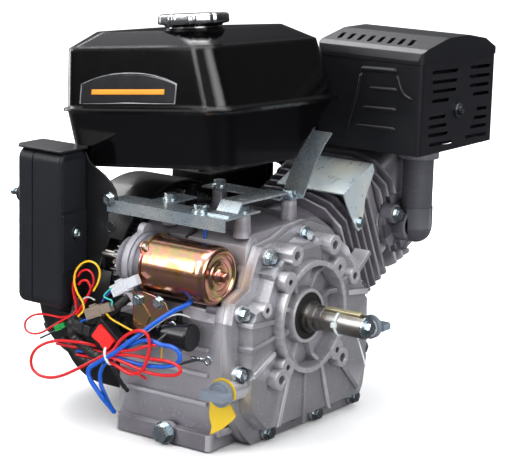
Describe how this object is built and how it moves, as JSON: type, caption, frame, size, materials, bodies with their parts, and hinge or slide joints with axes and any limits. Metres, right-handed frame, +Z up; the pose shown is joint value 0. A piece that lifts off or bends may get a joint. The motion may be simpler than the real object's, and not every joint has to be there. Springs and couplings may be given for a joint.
{
  "type": "small horizontal-shaft petrol engine",
  "caption": "Single-cylinder horizontal-shaft petrol engine with inclined finned cylinder, electric and recoil start, boxed silencer and top tank.",
  "frame": {"origin": "crankshaft axis at the machined power take-off face of the side cover", "axes": "+Z up, -Y out along the output shaft, +X towards the cylinder"},
  "size_m": [0.4641, 0.3948, 0.4609],
  "materials": {
    "cast_dark": "rough die-cast",
    "cast_bright": "die-cast",
    "iron": "machined",
    "exhaust_iron": "satin",
    "gasket": "matte",
    "zinc": "blue zinc plated",
    "zinc_sheet": "zinc plated sheet",
    "gold_zinc": "yellow zinc plated",
    "steel": "ground",
    "rubber": "matte",
    "muffler_black": "satin heat paint",
    "tank_black": "gloss",
    "shroud_black": "semi-gloss",
    "cap_metal": "bright",
    "black_plastic": "fine texture",
    "relay_black": "gloss",
    "red_plastic": "gloss",
    "plug_grey": "satin",
    "filter_paper": "pleated"
  },
  "bodies": {
    "root": {"crankcase": "cast_dark", "cylinder_liner": "iron", "side_cover": "cast_bright", "gaskets": "gasket", "side_cover_bolts": "zinc", "oil_seals": "rubber", "main_bearings": "steel", "cylinder_head": "cast_dark", "valve_cover": "cast_dark", "head_bolts": "zinc", "spark_plug": "steel", "valve_springs": "steel", "exhaust_pipe": "exhaust_iron", "muffler": "muffler_black", "muffler_cover": "muffler_black", "heat_deflector": "zinc_sheet", "tank_bracket": "zinc_sheet", "bracket_bolts": "zinc", "fuel_tank": "tank_black", "carburetor": "cast_bright", "air_cleaner_base": "black_plastic", "air_filter": "filter_paper", "air_cleaner_cover": "black_plastic", "blower_housing": "shroud_black", "recoil_housing": "shroud_black", "ignition_coil": "black_plastic", "starter_motor": "gold_zinc", "starter_housing": "cast_bright", "starter_relay": "relay_black", "control_box": "black_plastic", "switch_housing": "black_plastic"},
    "crank": {"crankshaft": "steel", "shaft_end_bolt": "zinc", "flywheel": "iron"},
    "camshaft": {"camshaft": "iron"},
    "balancer": {"balancer_shaft": "iron"},
    "piston": {"piston": "cast_bright", "piston_rings": "iron", "wrist_pin": "steel", "connecting_rod": "cast_bright"},
    "exhaust_valve": {"exhaust_valve": "steel"},
    "intake_valve": {"intake_valve": "steel"},
    "exhaust_pushrod": {"exhaust_pushrod": "steel"},
    "intake_pushrod": {"intake_pushrod": "steel"},
    "exhaust_rocker": {"exhaust_rocker": "steel"},
    "intake_rocker": {"intake_rocker": "steel"},
    "fuel_cap": {"fuel_cap": "cap_metal"},
    "throttle": {"throttle_lever": "zinc"},
    "choke": {"choke_lever": "zinc"},
    "air_nut": {"air_cleaner_nut": "zinc"},
    "recoil_pulley": {"recoil_pulley": "black_plastic"},
    "recoil_handle": {"recoil_handle": "rubber"},
    "starter_armature": {"starter_armature": "steel"},
    "starter_pinion": {"starter_pinion": "steel"},
    "ignition_key": {"ignition_key": "zinc"},
    "rocker_switch": {"rocker_switch": "red_plastic"},
    "left_dipstick": {"left_dipstick": "plug_grey"},
    "right_dipstick": {"right_dipstick": "plug_grey"},
    "fuel_valve": {"fuel_valve_lever": "zinc"}
  },
  "joints": [
    {"name": "crank_spin", "type": "hinge", "parent": "root", "child": "crank", "pos_m": [0, 0, 0], "axis": [0, -1, 0], "continuous": true},
    {"name": "cam_spin", "type": "hinge", "parent": "root", "child": "camshaft", "pos_m": [0.064, 0, -0.033], "axis": [0, -1, 0], "continuous": true},
    {"name": "balancer_spin", "type": "hinge", "parent": "root", "child": "balancer", "pos_m": [-0.02, 0, -0.0692], "axis": [0, -1, 0], "continuous": true},
    {"name": "piston_stroke", "type": "slide", "parent": "root", "child": "piston", "axis": [0.9063, 0, 0.4226], "range_m": [-0.066, 0]},
    {"name": "exhaust_rocker_swing", "type": "hinge", "parent": "root", "child": "exhaust_rocker", "pos_m": [0.25919, 0.081, 0.08776], "axis": [0, -1, 0], "range_deg": [0, 10.4]},
    {"name": "exhaust_valve_lift", "type": "slide", "parent": "root", "child": "exhaust_valve", "axis": [-0.9063, 0, -0.4226], "range_m": [0, 0.0049]},
    {"name": "exhaust_pushrod_lift", "type": "slide", "parent": "root", "child": "exhaust_pushrod", "axis": [0.9063, 0, 0.4226], "range_m": [0, 0.0049]},
    {"name": "intake_rocker_swing", "type": "hinge", "parent": "root", "child": "intake_rocker", "pos_m": [0.25919, 0.113, 0.08776], "axis": [0, -1, 0], "range_deg": [0, 10.4]},
    {"name": "intake_valve_lift", "type": "slide", "parent": "root", "child": "intake_valve", "axis": [-0.9063, 0, -0.4226], "range_m": [0, 0.0049]},
    {"name": "intake_pushrod_lift", "type": "slide", "parent": "root", "child": "intake_pushrod", "axis": [0.9063, 0, 0.4226], "range_m": [0, 0.0049]},
    {"name": "fuel_cap_turn", "type": "hinge", "parent": "root", "child": "fuel_cap", "pos_m": [-0.05871, 0.1286, 0.31357], "axis": [0.0347, 0.1045, 0.9939], "range_deg": [0, 90]},
    {"name": "throttle_turn", "type": "hinge", "parent": "root", "child": "throttle", "pos_m": [0.202, 0.178, 0.068], "axis": [0, 0, 1], "range_deg": [0, 50]},
    {"name": "choke_turn", "type": "hinge", "parent": "root", "child": "choke", "pos_m": [0.202, 0.204, 0.068], "axis": [0, 0, -1], "range_deg": [0, 50]},
    {"name": "air_cleaner_nut_turn", "type": "hinge", "parent": "root", "child": "air_nut", "pos_m": [0.212, 0.171, 0.258], "axis": [0, 0, 1], "range_deg": [0, 720]},
    {"name": "recoil_pulley_turn", "type": "hinge", "parent": "root", "child": "recoil_pulley", "pos_m": [0, 0.285, 0], "axis": [0, -1, 0], "range_deg": [0, 540]},
    {"name": "recoil_handle_pull", "type": "slide", "parent": "root", "child": "recoil_handle", "axis": [0.9, 0, 0.4359], "range_m": [0, 0.6287]},
    {"name": "starter_spin", "type": "hinge", "parent": "root", "child": "starter_armature", "pos_m": [-0.11, 0, 0.05724], "axis": [0, -1, 0], "continuous": true},
    {"name": "starter_pinion_engage", "type": "slide", "parent": "starter_armature", "child": "starter_pinion", "axis": [0, 1, 0], "range_m": [0, 0.016]},
    {"name": "ignition_key_turn", "type": "hinge", "parent": "root", "child": "ignition_key", "pos_m": [-0.14, 0.31, 0.117], "axis": [0, -1, 0], "range_deg": [0, 80]},
    {"name": "rocker_switch_tilt", "type": "hinge", "parent": "root", "child": "rocker_switch", "pos_m": [-0.158, 0.164, -0.021], "axis": [0, -0.6, 0.8], "range_deg": [-8, 8]},
    {"name": "left_dipstick_turn", "type": "hinge", "parent": "root", "child": "left_dipstick", "pos_m": [-0.13, 0.028, -0.063], "axis": [-1, 0, 0], "range_deg": [0, 720]},
    {"name": "right_dipstick_turn", "type": "hinge", "parent": "root", "child": "right_dipstick", "pos_m": [0.16, 0.028, -0.048], "axis": [1, 0, 0], "range_deg": [0, 720]},
    {"name": "fuel_valve_turn", "type": "hinge", "parent": "root", "child": "fuel_valve", "pos_m": [0.163, 0.191, 0.034], "axis": [-1, 0, 0], "range_deg": [0, 90]}
  ],
  "couplings": [
    {"joint": "cam_spin", "follows": "crank_spin", "ratio": -0.5},
    {"joint": "balancer_spin", "follows": "crank_spin", "ratio": -1},
    {"joint": "exhaust_valve_lift", "follows": "exhaust_rocker_swing", "m_per_rad": 0.027},
    {"joint": "exhaust_pushrod_lift", "follows": "exhaust_rocker_swing", "m_per_rad": 0.027},
    {"joint": "intake_valve_lift", "follows": "intake_rocker_swing", "m_per_rad": 0.027},
    {"joint": "intake_pushrod_lift", "follows": "intake_rocker_swing", "m_per_rad": 0.027},
    {"joint": "recoil_handle_pull", "follows": "recoil_pulley_turn", "m_per_rad": 0.0667}
  ]
}
